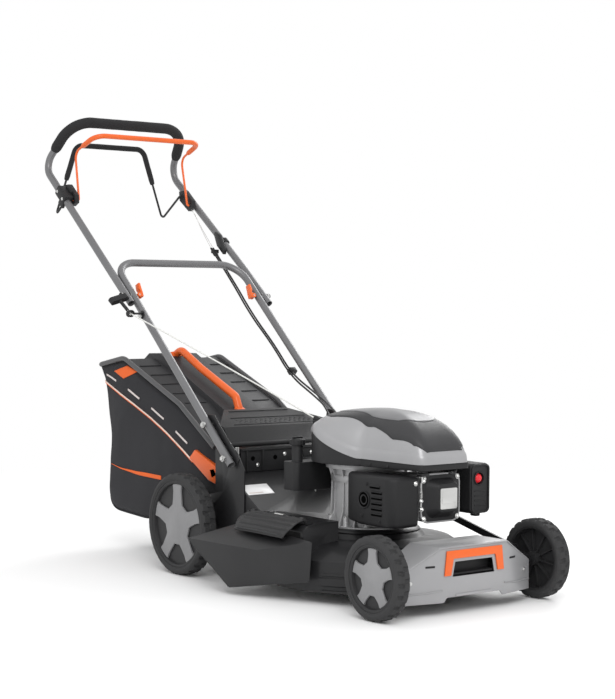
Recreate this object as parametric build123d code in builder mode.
"""Push lawn mower with a grass bag, in millimetres.

Frame: +Z up, the mower drives towards -Y, its left side is +X.
The origin is on the ground, straight below the crankshaft.
"""

from build123d import *
import os
from math import cos, radians, sin

os.makedirs("parts", exist_ok=True)

# ---------------------------------------------------------------- driving dimensions
GAP = 0.3                     # clearance between pieces that move against each other
RUN = 0.06                    # radial clearance of a shaft in its hole

TRACK = 580.0                 # over the outer faces of the wheels
FRONT_Y, FRONT_R, FRONT_W = -350.0, 101.5, 44.0
REAR_Y, REAR_R, REAR_W = 478.0, 139.0, 48.0
AXLE_R = 6.0
ARM_X, ARM_T = 232.0, 6.0     # cranked axle arms, inner face and thickness
CRANK_Y, CRANK_Z = 43.0, 25.0 # wheel centre to axle pivot, backwards and down
LINK_X, LINK_T, LINK_RISE = 223.0, 6.0, 50.0

DECK_R, DECK_LOW, SHEET = 268.0, 30.0, 2.5
TUNNEL_X = 208.0
APRON_Y = -330.0
COVER_Y, COVER_X = -400.0, 215.0
BLADE_LEN, BLADE_W, BLADE_Z = 506.0, 55.0, 47.0

CRANK_R = 12.5
CASE_LOW, CASE_TOP = 163.0, 334.0
HOUSING_LOW = 337.0

TUBE_R, TUBE_WALL = 11.0, 1.5
LOWER_X, UPPER_X, TOP_X = 224.5, 247.5, 205.0
LEG_LOW = 312.0               # height of the lower handle's feet
FOLD_Z = 765.0                # height of the handle's fold axis
CROSS_Z = 862.0

FLAP_Y, FLAP_Z, FLAP_X = 350.0, 361.0, 195.0
BAG_X = 167.5


def lower_leg_y(height):
    """Place along Y of the lower handle's centre line at a height."""
    return -38.3 + 1.096 * height


def upper_leg_y(height):
    """Place along Y of the upper handle's centre line at a height."""
    return lower_leg_y(FOLD_Z) + 1.222 * (height - FOLD_Z)


# ---------------------------------------------------------------- shared shapes
def rod_x(x0, x1, y, z, radius, mode=Mode.ADD):
    """Round bar along X from x0 to x1."""
    with BuildSketch(Plane.YZ.offset(min(x0, x1))) as profile:
        with Locations((y, z)):
            Circle(radius)
    extrude(profile.sketch, amount=abs(x1 - x0), mode=mode)


def rod_z(x, y, z0, z1, radius, mode=Mode.ADD):
    """Round bar along Z from z0 to z1."""
    with BuildSketch(Plane.XY.offset(z0)) as profile:
        with Locations((x, y)):
            Circle(radius)
    extrude(profile.sketch, amount=z1 - z0, mode=mode)


def rod_y(x, z, y0, y1, radius, mode=Mode.ADD):
    """Round bar along Y from y0 up to y1."""
    with BuildSketch(Plane.XZ.offset(-y1)) as profile:
        with Locations((x, z)):
            Circle(radius)
    extrude(profile.sketch, amount=y1 - y0, mode=mode)


def plate_x(points, x0, thickness, mode=Mode.ADD):
    """Flat plate across X, outlined by (y, z) points."""
    with BuildSketch(Plane.YZ.offset(x0)) as profile:
        with BuildLine():
            Polyline(*points, close=True)
        make_face()
    extrude(profile.sketch, amount=thickness, mode=mode)


def plate_y(points, y0, thickness, mode=Mode.ADD):
    """Flat plate across Y, outlined by (x, z) points, from y0 up to y0 + thickness."""
    with BuildSketch(Plane.XZ.offset(-y0 - thickness)) as profile:
        with BuildLine():
            Polyline(*points, close=True)
        make_face()
    extrude(profile.sketch, amount=thickness, mode=mode)


def plate_z(points, z0, thickness, mode=Mode.ADD):
    """Flat plate across Z, outlined by (x, y) points."""
    with BuildSketch(Plane.XY.offset(z0)) as profile:
        with BuildLine():
            Polyline(*points, close=True)
        make_face()
    extrude(profile.sketch, amount=thickness, mode=mode)


def link_bar(points, x0, thickness, radius):
    """Flat bar across X with round ends and joints, through (y, z) points."""
    for (y0, z0), (y1, z1) in zip(points, points[1:]):
        with BuildSketch(Plane.YZ.offset(x0)) as profile:
            with Locations((y0, z0), (y1, z1)):
                Circle(radius)
            make_hull()
        extrude(profile.sketch, amount=thickness)


def bent_bar(points, radii, outer, inner=0.0, mode=Mode.ADD):
    """Round bar or tube along a path of straight runs and arcs."""
    with BuildLine() as path:
        if len(points) == 2:
            Line(*points)
        else:
            FilletPolyline(*points, radius=radii)
    start = Plane(origin=path.wire() @ 0, z_dir=path.wire() % 0)
    with BuildSketch(start) as profile:
        Circle(outer)
        if inner > 0:
            Circle(inner, mode=Mode.SUBTRACT)
    sweep(profile.sketch, path=path.wire(), mode=mode)


def mirrored(points):
    """The path's points, then the same ones mirrored across X in reverse."""
    return list(points) + [(-x, y, z) for x, y, z in reversed(points)]


def save(piece, name):
    """Label a finished piece and write its STEP file."""
    piece.part.label = name
    export_step(piece.part, f"parts/{name}.step")


# ---------------------------------------------------------------- wheels
def wheel_disc(side, axle_y, axle_z, inner_x, u0, u1, outer, inner=0.0, mode=Mode.ADD):
    """Ring or disc between two depths, counted outwards from the wheel's inner face."""
    plane = Plane((side * (inner_x + u0), axle_y, axle_z), x_dir=(0, 1, 0), z_dir=(side, 0, 0))
    with BuildSketch(plane) as profile:
        Circle(outer)
        if inner > 0:
            Circle(inner, mode=Mode.SUBTRACT)
    extrude(profile.sketch, amount=u1 - u0, mode=mode)


def make_wheel(prefix, side, axle_y, radius, width):
    """Tyre, rim and five-armed hub cap of one wheel."""
    inner_x = TRACK / 2 - width
    place = (side, axle_y, radius, inner_x)
    rim_r = radius - 20.0
    web = width - 18.0

    with BuildPart() as tyre:
        wheel_disc(*place, 0, width, radius, rim_r)
        shoulders = tyre.edges().filter_by(GeomType.CIRCLE).group_by(SortBy.RADIUS)[-1]
        fillet(shoulders, 7)
    save(tyre, f"{prefix}_tyre")

    with BuildPart() as rim:
        wheel_disc(*place, 4, width - 4, rim_r - 0.1, rim_r - 5)
        wheel_disc(*place, web, web + 5, rim_r - 4, 0)
        wheel_disc(*place, 1, width - 6, 16, 0)
        wheel_disc(*place, 0, width, AXLE_R + RUN, 0, mode=Mode.SUBTRACT)
    save(rim, f"{prefix}_rim")

    with BuildPart() as cap:
        plane = Plane((side * (inner_x + web + 5.2), axle_y, radius), x_dir=(0, 1, 0), z_dir=(side, 0, 0))
        with BuildSketch(plane):
            Circle(0.33 * radius)
            with PolarLocations(0, 5, start_angle=90):
                Polygon((0, -14), (rim_r - 9, -10), (rim_r - 9, 10), (0, 14), align=None)
        extrude(amount=6)
        wheel_disc(*place, width - 7, width + 1, 0.30 * radius, 0)
        wheel_disc(*place, web + 5, width - 4, 16.4, 0, mode=Mode.SUBTRACT)
    save(cap, f"{prefix}_hub_cap")


for front_side, front_name in ((-1, "front_right"), (1, "front_left")):
    make_wheel(front_name, front_side, FRONT_Y, FRONT_R, FRONT_W)
for rear_side, rear_name in ((-1, "rear_right"), (1, "rear_left")):
    make_wheel(rear_name, rear_side, REAR_Y, REAR_R, REAR_W)


# ---------------------------------------------------------------- axles and height setting
def cranked_arms(wheel_y, wheel_z, width):
    """Pivot rod, two crank arms, two stub axles and the link pin of one axle."""
    pivot_y, pivot_z = wheel_y + CRANK_Y, wheel_z - CRANK_Z
    rod_x(-ARM_X - 1, ARM_X + 1, pivot_y, pivot_z, AXLE_R)
    for side in (-1, 1):
        x0 = ARM_X if side > 0 else -ARM_X - ARM_T
        link_bar([(pivot_y, pivot_z), (wheel_y, wheel_z)], x0, ARM_T, 12)
        rod_x(side * (ARM_X + 1), side * (TRACK / 2 - 8), wheel_y, wheel_z, AXLE_R)
    link_bar([(pivot_y, pivot_z), (pivot_y, pivot_z + LINK_RISE)], ARM_X, ARM_T, 9)
    rod_x(LINK_X - 2, ARM_X + 1, pivot_y, pivot_z + LINK_RISE, 4)


with BuildPart() as front_axle:
    cranked_arms(FRONT_Y, FRONT_R, FRONT_W)
save(front_axle, "front_axle")

with BuildPart() as rear_axle:
    cranked_arms(REAR_Y, REAR_R, REAR_W)
    rod_x(-ARM_X - 1, ARM_X + 1, REAR_Y, REAR_R, AXLE_R)
save(rear_axle, "rear_axle")

LEVER_ROOT = (REAR_Y + CRANK_Y, REAR_R - CRANK_Z)
LEVER_TIP = (REAR_Y + CRANK_Y + 95, REAR_R - CRANK_Z + 165)
with BuildPart() as height_lever:
    link_bar([LEVER_ROOT, LEVER_TIP], 215.5, 4, 11)
    rod_x(214.5, 222.5, *LEVER_TIP, 17)
    rod_x(214, 222, *LEVER_ROOT, AXLE_R + 0.02, mode=Mode.SUBTRACT)
save(height_lever, "height_lever")

LINK_FRONT = (FRONT_Y + CRANK_Y, FRONT_R - CRANK_Z + LINK_RISE)
LINK_REAR = (REAR_Y + CRANK_Y, REAR_R - CRANK_Z + LINK_RISE)
with BuildPart() as height_link:
    link_bar([LINK_FRONT, (-86, 180), (60, 206), (400, 206), LINK_REAR], LINK_X, LINK_T, 9)
    rod_x(LINK_X - 1, LINK_X + 8, *LINK_FRONT, 4 + GAP, mode=Mode.SUBTRACT)
    rod_x(LINK_X - 1, LINK_X + 8, *LINK_REAR, 4 + RUN, mode=Mode.SUBTRACT)
save(height_link, "height_link")

with BuildPart() as gearbox:
    rod_x(-38, 38, REAR_Y, REAR_R, 38)
    plate_x([(REAR_Y - 36, REAR_R - 20), (REAR_Y + 30, REAR_R - 20), (REAR_Y + 20, REAR_R + 44),
             (REAR_Y - 30, REAR_R + 44)], -26, 52)
    rod_z(0, REAR_Y - 4, REAR_R + 44, REAR_R + 52, 7)
    rod_z(0, REAR_Y - 4, REAR_R + 52, REAR_R + 60, 30)
    rod_x(-40, 40, REAR_Y, REAR_R, AXLE_R + 0.05, mode=Mode.SUBTRACT)
save(gearbox, "drive_gearbox")


# ---------------------------------------------------------------- deck
APRON = [(-205, 42), (-205, 96), (-112, 148), (112, 148), (205, 96), (205, 42)]
TUNNEL = [(60, 34), (60, 150), (130, 163), (345, 288), (345, 350), (402, 350), (402, 34)]
HUMP = [(-262, 50), (-262, 178), (-246, 192), (-205, 196), (-150, 196), (-150, 50)]


def dome(inset):
    """Blade housing: skirt, shoulder and the raised engine seat."""
    with BuildSketch(Plane.XZ) as profile:
        with BuildLine():
            Polyline((0, DECK_LOW - inset), (DECK_R - inset, DECK_LOW - inset),
                     (DECK_R - inset, 108 - inset / 2), (216 - inset / 2, 140 - inset),
                     (150 - inset / 2, 148 - inset), (138 - inset / 2, 160 - inset),
                     (0, 160 - inset), close=True)
        make_face()
    revolve(profile.sketch, axis=Axis.Z)


with BuildPart() as deck_hollow:
    dome(SHEET)
    plate_y([(x * 0.988, 20) if z < 50 else (x * 0.988, z - SHEET) for x, z in APRON],
            APRON_Y + SHEET, 180)
    plate_x([(60, 20), (60, 147), (129, 160), (342, 284), (342, 347), (399.5, 347), (399.5, 20)],
            -TUNNEL_X + SHEET, 2 * (TUNNEL_X - SHEET))
    plate_y([(-259.5, 20), (-259.5, 177), (-245, 189.5), (-205, 193.5), (-150, 193.5), (-150, 20)],
            -58, 256)

with BuildPart() as deck:
    dome(0)
    plate_y(APRON, APRON_Y, 182)
    plate_x(TUNNEL, -TUNNEL_X, 2 * TUNNEL_X)
    plate_y(HUMP, -60.5, 261)
    add(deck_hollow.part, mode=Mode.SUBTRACT)
    # side outlet, rear outlet to the bag and the crankshaft's hole
    plate_y([(-300, 54), (-300, 174), (-240, 174), (-240, 54)], -48, 236, mode=Mode.SUBTRACT)
    plate_y([(-165, 208), (-165, 332), (165, 332), (165, 208)], 390, 30, mode=Mode.SUBTRACT)
    rod_z(0, 0, 140, 170, 40, mode=Mode.SUBTRACT)
    # front pivot holes
    rod_x(-220, 220, FRONT_Y + CRANK_Y, FRONT_R - CRANK_Z, AXLE_R + RUN, mode=Mode.SUBTRACT)
    # engine bolt holes
    for bolt_x, bolt_y in ((-80, 80), (80, 80), (0, -113)):
        rod_z(bolt_x, bolt_y, 140, 170, 4.1, mode=Mode.SUBTRACT)
save(deck, "deck_shell")

with BuildPart() as front_cover:
    plate_z([(-COVER_X, -375), (-108, COVER_Y), (108, COVER_Y), (COVER_X, -375), (COVER_X, -292),
             (-COVER_X, -292)], 32, 160)
    plate_y([(-COVER_X, 32), (-COVER_X, 106), (-112, 166), (112, 166), (COVER_X, 106), (COVER_X, 32),
             (98, 32), (88, 43), (-88, 43), (-98, 32)], COVER_Y, 120, mode=Mode.INTERSECT)
    plate_z([(-COVER_X + 3, -372.6), (-107.5, COVER_Y + 2.6), (107.5, COVER_Y + 2.6),
             (COVER_X - 3, -372.6), (COVER_X - 3, -280), (-COVER_X + 3, -280)], 20, 81,
            mode=Mode.SUBTRACT)
    plate_y([(-COVER_X + 3, 100), (-COVER_X + 3, 104), (-111, 163.2), (111, 163.2),
             (COVER_X - 3, 104), (COVER_X - 3, 100)], -372.6, 100, mode=Mode.SUBTRACT)
    plate_y([(-107, 100), (-107, 163.2), (107, 163.2), (107, 100)], COVER_Y + 2.6, 40,
            mode=Mode.SUBTRACT)
    # hand recess: the grip opening under the trim
    plate_y([(-70, 92), (-62, 128), (62, 128), (70, 92)], COVER_Y - 5, 20, mode=Mode.SUBTRACT)
    # room for the axle's pivot rod through the side walls
    rod_x(-220, 220, FRONT_Y + CRANK_Y, FRONT_R - CRANK_Z, AXLE_R + 1, mode=Mode.SUBTRACT)
save(front_cover, "front_cover")

with BuildPart() as front_trim:
    plate_y([(-99, 96), (-92, 156), (92, 156), (99, 96), (78, 96), (70, 136), (-70, 136), (-78, 96)],
            COVER_Y - 4.2, 4)
save(front_trim, "front_handle_trim")

BOLT_HEIGHTS = (329.0, 414.0)
BRACKET = [(262, 160), (262, 300), (296, 346), (338, 372), (404, 440), (436, 440), (442, 406),
           (364, 322), (360, 236), (540, 196), (540, 98), (504, 98), (504, 168), (440, 168), (400, 60),
           (330, 60)]
with BuildPart() as brackets:
    for x0 in (-TUNNEL_X - 4.2, TUNNEL_X + 0.2):
        plate_x(BRACKET, x0, 4)
    rod_x(-220, 220, REAR_Y + CRANK_Y, REAR_R - CRANK_Z, AXLE_R + RUN, mode=Mode.SUBTRACT)
    rod_x(-220, 220, FLAP_Y, FLAP_Z, 3 + RUN, mode=Mode.SUBTRACT)
    for height in BOLT_HEIGHTS:
        rod_x(-220, 220, lower_leg_y(height), height, 4.05, mode=Mode.SUBTRACT)
save(brackets, "handle_brackets")

FLAP_BEND = (385.0, 404.0)
FLAP_END = (505.0, 442.0)
with BuildPart() as rear_flap:
    rod_x(-FLAP_X, FLAP_X, FLAP_Y, FLAP_Z, 6.5)
    plate_x([(352, 366), (355, 362), FLAP_BEND, (383, 407)], -FLAP_X, 2 * FLAP_X)
    plate_x([FLAP_BEND, (383, 407), (503.5, 445), FLAP_END], -FLAP_X, 2 * FLAP_X)
    # corners cut back towards the free edge
    for side in (-1, 1):
        plate_z([(side * 96, 520), (side * FLAP_X, 400), (side * 220, 400), (side * 220, 520)],
                380, 80, mode=Mode.SUBTRACT)
    rod_x(-220, 220, FLAP_Y, FLAP_Z, 3 + RUN, mode=Mode.SUBTRACT)
save(rear_flap, "rear_flap")


# ---------------------------------------------------------------- side discharge
SIDE_HINGE = (-242.0, 201.0)
with BuildPart() as flap_rods:
    rod_x(-TUNNEL_X - 3, TUNNEL_X + 3, FLAP_Y, FLAP_Z, 3)
    rod_y(*SIDE_HINGE, -56, 196, 3)
    for lug_y in (-56, 188):
        plate_y([(-249, 195), (-249, 205), (-236, 205), (-230, 196.3), (-230, 194.5), (-236, 193.6),
                 (-245, 192.6)], lug_y, 8)
save(flap_rods, "flap_rods")

with BuildPart() as side_flap:
    rod_y(*SIDE_HINGE, -44, 184, 6)
    with BuildSketch(Plane.XZ.offset(-184)):
        with BuildLine():
            under = CenterArc((-242, 131), 70, 90, 63)
            over = CenterArc((-242, 131), 73.5, 90, 63)
            Line(under @ 0, over @ 0)
            Line(under @ 1, over @ 1)
        make_face()
    extrude(amount=228)
    for rib_y in range(-36, 184, 36):
        with BuildSketch(Plane.XZ.offset(-rib_y - 4)):
            with BuildLine():
                low = CenterArc((-242, 131), 73, 95, 54)
                high = CenterArc((-242, 131), 77, 95, 54)
                Line(low @ 0, high @ 0)
                Line(low @ 1, high @ 1)
            make_face()
        extrude(amount=4)
    rod_y(*SIDE_HINGE, -60, 200, 3 + RUN, mode=Mode.SUBTRACT)
save(side_flap, "side_flap")

# chute: five flat facets that meet at the crease, and their corners in order round the rim
CREASE = (-332, 40, 126)
CHUTE_RIM = [(-272, -105, 158), (-268, 180, 178), (-372, 292, 130), (-352, 135, 22), (-276, -100, 60)]
CHUTE_THICKNESS = Vector(2.6, 0, -1.8)


def flat_face(*corners):
    """Flat face through three or four corners."""
    return Face(Wire.make_polygon([Vector(*corner) for corner in corners], close=True))


facets = []
for here, beside in zip(CHUTE_RIM, CHUTE_RIM[1:] + CHUTE_RIM[:1]):
    here_in = tuple(Vector(*here) + CHUTE_THICKNESS)
    beside_in = tuple(Vector(*beside) + CHUTE_THICKNESS)
    facets.append(flat_face(here, beside, CREASE))
    facets.append(flat_face(beside_in, here_in, tuple(Vector(*CREASE) + CHUTE_THICKNESS)))
    facets.append(flat_face(here, here_in, beside_in, beside))
chute_solid = Solid(Shell(facets))
with BuildPart() as chute:
    add(chute_solid)
save(chute, "discharge_chute")


# ---------------------------------------------------------------- blade and crankshaft
with BuildPart() as crankshaft:
    rod_z(0, 0, BLADE_Z + 4, 392, CRANK_R)
    rod_z(0, 0, BLADE_Z + 4, BLADE_Z + 22, 26)
    rod_z(0, 0, BLADE_Z, BLADE_Z + 40, 5, mode=Mode.SUBTRACT)
save(crankshaft, "crankshaft")

with BuildPart() as blade:
    with BuildSketch(Plane.XY.offset(BLADE_Z)):
        SlotOverall(BLADE_LEN, BLADE_W)
        Circle(5.3, mode=Mode.SUBTRACT)
    extrude(amount=3.9)
    for side in (-1, 1):
        # the trailing edge turns up to lift and throw the clippings
        plate_x([(side * 26, BLADE_Z + 3), (side * 14, BLADE_Z + 3), (side * 25, BLADE_Z + 22),
                 (side * 27.4, BLADE_Z + 22)], -225 if side < 0 else 145, 80)
save(blade, "blade")

with BuildPart() as blade_bolt:
    rod_z(0, 0, BLADE_Z - 2.2, BLADE_Z - 0.1, 18)
    with BuildSketch(Plane.XY.offset(BLADE_Z - 10)):
        RegularPolygon(9.5, 6)
    extrude(amount=8)
    rod_z(0, 0, BLADE_Z - 1, BLADE_Z + 36, 4.95)
save(blade_bolt, "blade_bolt")

with BuildPart() as flywheel:
    rod_z(0, 0, 342, 350, 88)
    for turn in range(0, 360, 20):
        fan = Plane.XY.offset(350).rotated((0, 0, turn))
        with BuildSketch(fan):
            with Locations((64, 0)):
                Rectangle(36, 3)
        extrude(amount=24)
    rod_z(0, 0, 350, 366, 24)
    rod_z(0, 0, 340, 380, CRANK_R + 0.05, mode=Mode.SUBTRACT)
save(flywheel, "flywheel")


# ---------------------------------------------------------------- engine
BLOCK = [(-52, 208), (-52, 312), (52, 312), (52, 208)]
STICK = Plane(origin=(100, 46, 176), x_dir=(0, 1, 0), z_dir=(0.707, 0.1, 0.707))
with BuildPart() as crankcase:
    rod_z(0, 0, CASE_LOW, CASE_LOW + 12, 122)
    rod_z(0, 0, CASE_LOW + 10, CASE_TOP, 94)
    rod_z(0, 0, CASE_TOP - 10, CASE_TOP, 110)
    plate_y(BLOCK, -214, 150)
    for fin in range(6):
        plate_y([(-60, 204), (-60, 316), (60, 316), (60, 204)], -208 + fin * 17, 5)
    rod_z(0, 0, CASE_LOW + 8, CASE_TOP - 8, 84, mode=Mode.SUBTRACT)
    rod_y(0, 260, -220, -60, 35, mode=Mode.SUBTRACT)
    rod_z(0, 0, CASE_LOW - 5, CASE_TOP + 5, CRANK_R + RUN, mode=Mode.SUBTRACT)
    for bolt_x, bolt_y in ((-80, 80), (80, 80), (0, -113)):
        rod_z(bolt_x, bolt_y, CASE_LOW - 5, CASE_LOW + 20, 4.1, mode=Mode.SUBTRACT)
    # oil filler neck, leaning out over the base flange
    rod_z(100, 46, CASE_LOW + 8, CASE_LOW + 22, 13)
    with BuildSketch(STICK.offset(-4)) as neck:
        Circle(11)
    extrude(neck.sketch, amount=47.6)
    with BuildSketch(STICK) as bore:
        Circle(8)
    extrude(bore.sketch, amount=50, mode=Mode.SUBTRACT)
save(crankcase, "crankcase")

HEAD_Y = -268.0
with BuildPart() as head:
    plate_y([(-58, 206), (-58, 326), (70, 326), (70, 206)], HEAD_Y, 53.8)
    fillet(head.edges().filter_by(Axis.Y), 26)
    for fin in range(4):
        plate_y([(-62, 212), (-62, 320), (74, 320), (74, 212)], HEAD_Y + 10 + fin * 11, 4)
save(head, "cylinder_head")

with BuildPart() as valve_cover:
    plate_y([(-56, 208), (-56, 324), (68, 324), (68, 208)], HEAD_Y - 4.2, 4)
    fillet(valve_cover.edges().filter_by(Axis.Y), 24)
    with BuildSketch(Plane.XZ.offset(-HEAD_Y + 4)):
        with Locations((6, 266)):
            RectangleRounded(100, 98, 24)
    with BuildSketch(Plane.XZ.offset(-HEAD_Y + 30)):
        with Locations((10, 268)):
            RectangleRounded(66, 68, 10)
    loft()
save(valve_cover, "valve_cover")

with BuildPart() as muffler:
    with BuildSketch(Plane.XY.offset(214)):
        with Locations((-108, -190)):
            RectangleRounded(60, 130, 18)
    extrude(amount=92)
    rod_x(-70, -63.2, -240, 262, 12)
save(muffler, "muffler")

GUARD = [(-66, -274), (-150, -274), (-156, -262), (-156, -158), (-122, -62), (-104, -62),
         (-90, -104), (-66, -110)]
GUARD_IN = [(-60, -271), (-149, -271), (-153, -261), (-153, -159), (-120, -65), (-106, -65),
            (-92, -107), (-60, -113)]
with BuildPart() as guard:
    plate_z(GUARD, 198, 124)
    chamfer(guard.faces().sort_by(Axis.Z)[-1].edges(), 8)
    plate_z(GUARD_IN, 190, 122, mode=Mode.SUBTRACT)
    # cooling slots down the outer side
    for slot in range(6):
        plate_y([(-170, 222 + 14 * slot), (-170, 228 + 14 * slot), (-140, 228 + 14 * slot),
                 (-140, 222 + 14 * slot)], -190, 36, mode=Mode.SUBTRACT)
    # round exhaust outlet in the rear facet
    facet = Plane(origin=(-139, -110, 250), x_dir=(0, 0, 1), z_dir=(-0.943, 0.334, 0))
    with BuildSketch(facet):
        Circle(20)
    extrude(amount=20, both=True, mode=Mode.SUBTRACT)
save(guard, "muffler_guard")

with BuildPart() as carburettor:
    with BuildSketch(Plane.XY.offset(232)):
        with Locations((92, -190)):
            RectangleRounded(28, 52, 6)
    extrude(amount=52)
    rod_x(60.3, 80, -190, 262, 14)
    rod_z(92, -190, 210, 233, 15.5)
save(carburettor, "carburettor")

FILTER_X, FILTER_Z = 141.0, 280.0
with BuildPart() as air_filter:
    with BuildSketch(Plane.XZ.offset(150)):
        with Locations((FILTER_X, FILTER_Z)):
            RectangleRounded(66, 128, 14)
    extrude(amount=122)
    fillet(air_filter.faces().sort_by(Axis.Y)[0].edges(), 5)
    rod_y(FILTER_X - 4, 306, -280, -246, 15, mode=Mode.SUBTRACT)
    rod_x(106.1, 109, -190, 262, 12)
save(air_filter, "air_filter_box")

with BuildPart() as primer:
    rod_y(FILTER_X - 4, 306, -276, -258, 14.5)
    fillet(primer.faces().sort_by(Axis.Y)[0].edges(), 7)
save(primer, "primer_bulb")

# plan of the fan housing and of its cover: a round rear end and a narrower nose
NOSE = [(-82, -297), (82, -297), (112, -92), (148, -22), (148, 22), (104, 104), (-104, 104),
        (-148, 22), (-148, -22), (-112, -92)]
HOUSING_SIDE = [(-320, HOUSING_LOW), (-320, 352), (-92, 356), (62, 414), (170, 414),
                (170, HOUSING_LOW)]
COVER_SIDE = [(-320, 352.3), (-92, 356.3), (62, 414.3), (170, 414.3), (170, 400), (152, 424),
              (120, 450), (60, 468), (0, 475), (-90, 473), (-190, 458), (-262, 424), (-290, 392),
              (-299, 362), (-320, 356)]
COVER_FRONT = [(-150, 330), (-150, 414), (-112, 446), (-56, 470), (0, 476), (56, 470),
               (112, 446), (150, 414), (150, 330)]


def plan_block(grow, z0, z1):
    """Nose outline and round end, raised between two heights."""
    with BuildSketch(Plane.XY.offset(z0)) as plan:
        with BuildLine():
            Polyline(*NOSE, close=True)
        make_face()
        fillet(plan.vertices(), 14)
        Circle(150)
        offset(amount=grow)
    extrude(plan.sketch, amount=z1 - z0)


with BuildPart() as housing_room:
    plan_block(-3, HOUSING_LOW + 3, 425)

with BuildPart() as housing:
    plan_block(0, HOUSING_LOW, 420)
    plate_x(HOUSING_SIDE, -170, 340, mode=Mode.INTERSECT)
    add(housing_room.part, mode=Mode.SUBTRACT)
    rod_z(0, 0, HOUSING_LOW - 5, HOUSING_LOW + 5, 60, mode=Mode.SUBTRACT)
save(housing, "blower_housing")

with BuildPart() as cover_room:
    plan_block(-3, HOUSING_LOW, 480)
    plate_x([(-320, 340), (-320, 356), (-295, 362), (-286, 391), (-258, 421), (-187, 454),
             (-90, 469), (0, 471), (60, 464), (118, 446), (148, 420), (170, 398), (170, 340)],
            -170, 340, mode=Mode.INTERSECT)
    plate_y([(x * 0.98, z - 4) for x, z in COVER_FRONT], -310, 480, mode=Mode.INTERSECT)

with BuildPart() as cover:
    plan_block(0, HOUSING_LOW, 480)
    plate_x(COVER_SIDE, -170, 340, mode=Mode.INTERSECT)
    plate_y(COVER_FRONT, -310, 480, mode=Mode.INTERSECT)
    add(cover_room.part, mode=Mode.SUBTRACT)
save(cover, "engine_cover")

TANK_CAP = (-142.0, 122.0)
with BuildPart() as tank:
    with BuildSketch(Plane.XY.offset(258)):
        with BuildLine():
            Polyline((-164, 98), (60, 98), (60, 160), (-164, 160), close=True)
        make_face()
    extrude(amount=74)
    fillet(tank.edges().filter_by(Axis.Z), 14)
    rod_z(*TANK_CAP, 330, 376, 15)
    rod_z(*TANK_CAP, 300, 380, 12, mode=Mode.SUBTRACT)
    rod_z(0, 0, 200, 340, 97, mode=Mode.SUBTRACT)
    rod_z(0, 0, CASE_TOP - 14, 340, 113, mode=Mode.SUBTRACT)
save(tank, "fuel_tank")

with BuildPart() as fuel_cap:
    rod_z(*TANK_CAP, 376.3, 390, 21)
    rod_z(*TANK_CAP, 366, 378, 11.6)
    for turn in range(0, 360, 30):
        notch = Plane(origin=(*TANK_CAP, 376), z_dir=(0, 0, 1)).rotated((0, 0, turn))
        with BuildSketch(notch):
            with Locations((21.5, 0)):
                Circle(1.6)
        extrude(amount=16, mode=Mode.SUBTRACT)
save(fuel_cap, "fuel_cap")

with BuildPart() as dipstick:
    with BuildSketch(STICK.offset(44)):
        Circle(15)
    extrude(amount=12)
    with BuildSketch(STICK.offset(2)):
        Circle(3)
    extrude(amount=43)
save(dipstick, "dipstick")


# ---------------------------------------------------------------- handle
with BuildPart() as lower_handle:
    foot = (-LOWER_X, lower_leg_y(LEG_LOW), LEG_LOW)
    corner = (-LOWER_X, lower_leg_y(CROSS_Z), CROSS_Z)
    bent_bar(mirrored([foot, corner]), [70, 70], TUBE_R, TUBE_R - TUBE_WALL)
    for height in BOLT_HEIGHTS:
        rod_x(-250, 250, lower_leg_y(height), height, 4.05, mode=Mode.SUBTRACT)
    rod_x(-250, 250, lower_leg_y(FOLD_Z), FOLD_Z, 4 + RUN, mode=Mode.SUBTRACT)
save(lower_handle, "lower_handle")

STUB_Z, KNEE_Z, ELBOW_Z = 742.0, 850.0, 1166.0
ELBOW = (-236.0, upper_leg_y(ELBOW_Z) + 12, ELBOW_Z)
TOP = (-TOP_X, 1185.0, 1301.0)
UPPER_PATH = [(-UPPER_X, upper_leg_y(STUB_Z), STUB_Z), (-UPPER_X, upper_leg_y(KNEE_Z), KNEE_Z),
              ELBOW, TOP]
UPPER_RADII = [600, 46, 84, 84, 46, 600]
with BuildPart() as upper_handle:
    bent_bar(mirrored(UPPER_PATH), UPPER_RADII, TUBE_R, TUBE_R - TUBE_WALL)
    rod_x(-270, 270, lower_leg_y(FOLD_Z), FOLD_Z, 4.05, mode=Mode.SUBTRACT)
save(upper_handle, "upper_handle")

GRIP_SHARE = 0.36             # where the foam starts on the run from elbow to top corner
grip_start = Vector(*ELBOW) + (Vector(*TOP) - Vector(*ELBOW)) * GRIP_SHARE
with BuildPart() as grip:
    bent_bar(mirrored([tuple(grip_start), TOP]), [84, 84], 16.5, TUBE_R + 0.1)
save(grip, "handle_grip")

BRAKE_PIVOT = (upper_leg_y(1088), 1088.0)
DRIVE_PIVOT = (upper_leg_y(1056) - 4, 1056.0)
BAIL_R = 3.5


def bail_housing(side):
    """Plastic housing inside one leg, with a bore for each bail's pin."""
    x0 = 208.0 if side > 0 else -222.0
    plate_x([(BRAKE_PIVOT[0] - 16, BRAKE_PIVOT[1] + 18), (BRAKE_PIVOT[0] + 18, BRAKE_PIVOT[1] + 16),
             (BRAKE_PIVOT[0] + 14, BRAKE_PIVOT[1] - 14), (DRIVE_PIVOT[0] + 6, DRIVE_PIVOT[1] - 18),
             (DRIVE_PIVOT[0] - 16, DRIVE_PIVOT[1] - 8), (DRIVE_PIVOT[0] - 14, DRIVE_PIVOT[1] + 16)],
            x0, 14)


with BuildPart() as housings:
    for housing_side in (-1, 1):
        bail_housing(housing_side)
    rod_x(-225, 225, *BRAKE_PIVOT, BAIL_R + RUN, mode=Mode.SUBTRACT)
    rod_x(-225, 225, *DRIVE_PIVOT, BAIL_R + RUN, mode=Mode.SUBTRACT)
save(housings, "bail_housings")

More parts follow.
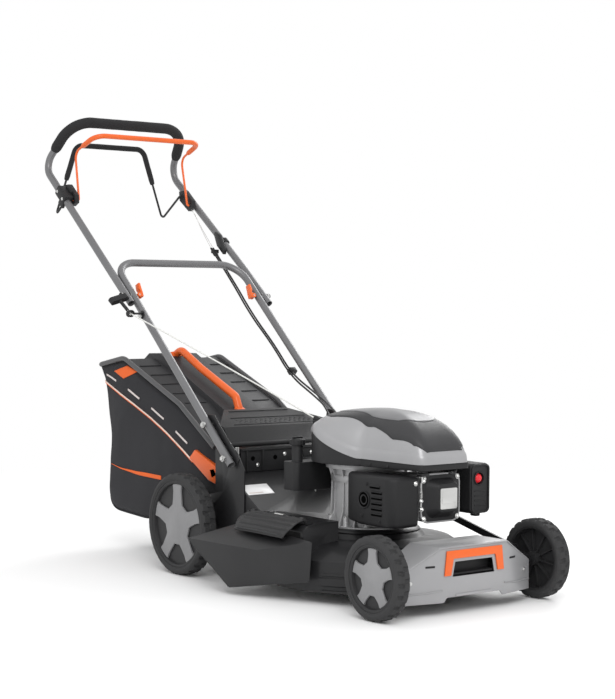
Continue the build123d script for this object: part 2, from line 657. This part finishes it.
BRAKE_KNEE = (-198.0, 1297.0, 1017.0)
BRAKE_TOP = (-124.0, 1299.0, 1240.0)
BRAKE_PATH = [(-221.5, *BRAKE_PIVOT), (-200, *BRAKE_PIVOT), BRAKE_KNEE, BRAKE_TOP]
with BuildPart() as brake_bail:
    bent_bar(mirrored(BRAKE_PATH), [7, 9, 34, 34, 9, 7], BAIL_R)
save(brake_bail, "brake_bail")

DRIVE_SHOULDER = (-196.0, 1182.0, 1206.0)
DRIVE_TOP = (-190.0, 1068.0, 1250.0)
with BuildPart() as drive_bail:
    bent_bar(mirrored([(-221.5, *DRIVE_PIVOT), (-200, *DRIVE_PIVOT), DRIVE_SHOULDER, DRIVE_TOP]),
             [7, 30, 36, 36, 30, 7], BAIL_R)
save(drive_bail, "drive_bail")

FOLD = (lower_leg_y(FOLD_Z), FOLD_Z)
LEVER_X = 206.0               # cam pin, counted from the middle
LEVER_PIN = (0, 0.91, -0.42)  # direction of the cam pin, across the bolt


def make_cam_lever(side, name):
    """Quick-release lever that turns about a cross pin in the bolt's inner end."""
    frame = Plane(origin=(side * LEVER_X, *FOLD), x_dir=(side, 0, 0), z_dir=LEVER_PIN)
    up = 1 if frame.y_dir.Z > 0 else -1
    with BuildPart() as lever:
        # two cheeks beside the bolt's end, bridged by the arm
        for start in (-9, 4.4):
            with BuildSketch(frame.offset(start)) as cheek:
                Circle(7)
                Polygon((-12, up * -6), (0, up * -6), (0, up * 7), (-12, up * 12), align=None)
            extrude(cheek.sketch, amount=4.6)
        with BuildSketch(frame.offset(-9)) as arm:
            Polygon((-12, up * -6), (-6, up * -6), (-6, up * 10), (-2, up * 20), (-4, up * 37),
                    (-10, up * 37), align=None)
        extrude(arm.sketch, amount=18)
        with BuildSketch(frame.offset(-10)) as pin_hole:
            Circle(2.5 + RUN)
        extrude(pin_hole.sketch, amount=20, mode=Mode.SUBTRACT)
    save(lever, name)


make_cam_lever(-1, "right_cam_lever")
make_cam_lever(1, "left_cam_lever")

with BuildPart() as bolts:
    for side in (-1, 1):
        # fold bolt with its knob outside and the levers' cross pin inside
        rod_x(side * (LEVER_X - 3), side * (UPPER_X + 15), *FOLD, 4)
        rod_x(side * (UPPER_X + TUBE_R + 0.4), side * (UPPER_X + TUBE_R + 7), *FOLD, 8)
        cross = Plane(origin=(side * LEVER_X, *FOLD), x_dir=(1, 0, 0), z_dir=LEVER_PIN)
        with BuildSketch(cross.offset(-9)) as pin:
            Circle(2.5)
        extrude(pin.sketch, amount=18)
        for height in BOLT_HEIGHTS:
            at = (lower_leg_y(height), height)
            rod_x(side * 203.5, side * (LOWER_X + TUBE_R + 4), *at, 4)
            rod_x(side * (LOWER_X + TUBE_R + 0.2), side * (LOWER_X + TUBE_R + 5.5), *at, 7.5)
            rod_x(side * 202.5, side * 205.2, *at, 6.5)
save(bolts, "handle_bolts")

# rope guide on the right lower leg, and the pull handle that rests behind it
GUIDE_LEG_Z = 706.0           # height on the leg where the guide is fixed
GUIDE_X = -278.0
GUIDE_Y, GUIDE_Z = lower_leg_y(GUIDE_LEG_Z) - 6.7, GUIDE_LEG_Z + 7.4
with BuildPart() as rope_guide:
    link_bar([(lower_leg_y(GUIDE_LEG_Z), GUIDE_LEG_Z), (GUIDE_Y, GUIDE_Z)], -238.5, 2.8, 9)
    rod_x(GUIDE_X + 6, -238, GUIDE_Y, GUIDE_Z, 3)
    rod_y(GUIDE_X, GUIDE_Z, GUIDE_Y - 3, GUIDE_Y + 3, 9)
    rod_y(GUIDE_X, GUIDE_Z, GUIDE_Y - 5, GUIDE_Y + 5, 5.5, mode=Mode.SUBTRACT)
save(rope_guide, "rope_guide")

PULL = Plane(origin=(GUIDE_X, GUIDE_Y, GUIDE_Z), x_dir=(-0.953, -0.047, -0.252), z_dir=(-0.215, 0.699, 0.682))
with BuildPart() as pull_handle:
    with BuildSketch(PULL.offset(14)):
        Circle(5)
    extrude(amount=38)
    with BuildSketch(PULL.offset(51.5)):
        RectangleRounded(62, 18, 8)
    extrude(amount=17)
save(pull_handle, "starter_handle")


# ---------------------------------------------------------------- grass bag
# side view of the bag: top edge from the mouth to the rear, then the rear and the underside
BAG_TOP = [(412, 338), (455, 346), (629, 449), (930, 571), (1068, 546)]
BAG_BACK = [(1012, 330), (1030, 140), (1000, 118), (812, 108), (690, 150), (560, 205), (412, 212)]
BAG_WALL = 2.0
LID_T = 4.0

with BuildPart() as bag_room:
    plate_x([(400, 360), (1090, 640), (1090, 548), (1066, 548), (1009.5, 330), (1027.6, 141), (999, 120.2),
             (812.6, 110.2), (690.8, 152), (560.6, 207), (400, 214.2)],
            -BAG_X + BAG_WALL, 2 * (BAG_X - BAG_WALL))

with BuildPart() as bag_fabric:
    plate_x(BAG_TOP + BAG_BACK, -BAG_X, 2 * BAG_X)
    add(bag_room.part, mode=Mode.SUBTRACT)
save(bag_fabric, "bag_fabric")

RIM_R = 7.0
RIM_X = BAG_X + RIM_R + 0.2
RIM_PATH = mirrored([(-RIM_X, 454, 345), (-RIM_X, 629, 457), (-RIM_X, 930, 579), (-RIM_X, 1079, 552)])
RIM_BENDS = [60, 60, 28, 28, 60, 60]

LID_LOW = [(y, z + 0.2) for y, z in BAG_TOP]
LID_HIGH = [(y, z + 0.2 + LID_T) for y, z in BAG_TOP]
CHANNEL = [(470, 352), (500, 412), (900, 590), (960, 590), (1010, 558), (930, 572), (629, 450)]
CHANNEL_ROOM = [(473.5, 340), (502.5, 409.5), (901, 587), (959, 587), (1006, 550), (930, 560), (629, 438)]
with BuildPart() as bag_top:
    plate_x(LID_LOW + LID_HIGH[::-1], -BAG_X, 2 * BAG_X)
    # raised channel under the carry handle, open from below
    plate_x(CHANNEL, -66, 132)
    plate_x(CHANNEL_ROOM, -63, 126, mode=Mode.SUBTRACT)
    # rear corners cut back around the rim tube
    bent_bar(RIM_PATH, RIM_BENDS, RIM_R + 0.2, mode=Mode.SUBTRACT)
save(bag_top, "bag_top")

with BuildPart() as bag_handle:
    bent_bar([(-14, 556, 428), (-14, 580, 476), (-14, 760, 552), (-14, 862, 602), (-14, 905, 582)],
             [20, 110, 30], 10)
    plate_x(CHANNEL, -66, 132, mode=Mode.SUBTRACT)
save(bag_handle, "bag_carry_handle")

with BuildPart() as bag_frame:
    bent_bar(RIM_PATH, RIM_BENDS, RIM_R)
save(bag_frame, "bag_frame")

with BuildPart() as end_caps:
    for side in (-1, 1):
        plate_x([(566, 308), (538, 334), (450, 301), (414, 284), (436, 246), (470, 254)],
                side * (RIM_X + 2) - RIM_R - 2, 2 * RIM_R + 4)
save(end_caps, "bag_end_caps")


# ---------------------------------------------------------------- control cables and starter rope
CABLE_R = 2.75
ROPE_R = 2.0
BRAKE_ROUTE = [(209, 1010, 908), (209, 905, 812), (209, 803, 708), (209, 690, 618),
               (204, 600, 536), (190, 470, 486), (146, 345, 458), (84, 210, 424)]
DRIVE_ROUTE = [(201, 1010, 908), (201, 905, 812), (201, 805, 708), (201, 690, 618),
               (194, 590, 528), (186, 460, 474), (140, 345, 446), (50, 175, 360)]
STARTER_ROUTE = [(GUIDE_X, GUIDE_Y, GUIDE_Z), (-160, 430, 576), (-60, 152, 441)]


def cable_radii(points, share=0.45):
    """Bend radius at each inner point, as large as its two runs allow."""
    radii = []
    for before, at, after in zip(points, points[1:], points[2:]):
        run_in = Vector(*at) - Vector(*before)
        run_out = Vector(*after) - Vector(*at)
        half_turn = radians(run_in.get_angle(run_out)) / 2
        radii.append(share * min(run_in.length, run_out.length) * cos(half_turn) / sin(half_turn))
    return radii


with BuildPart() as cables:
    for name, route in (("brake cable", BRAKE_ROUTE), ("drive cable", DRIVE_ROUTE)):
        bends = cable_radii(route)
        bent_bar(route, bends, CABLE_R)
        print(name, "bend radii", [round(bend) for bend in bends])
save(cables, "control_cables")

with BuildPart() as starter_rope:
    bent_bar(STARTER_ROUTE, cable_radii(STARTER_ROUTE), ROPE_R)
    print("starter rope bend radii", [round(bend) for bend in cable_radii(STARTER_ROUTE)])
save(starter_rope, "starter_rope")
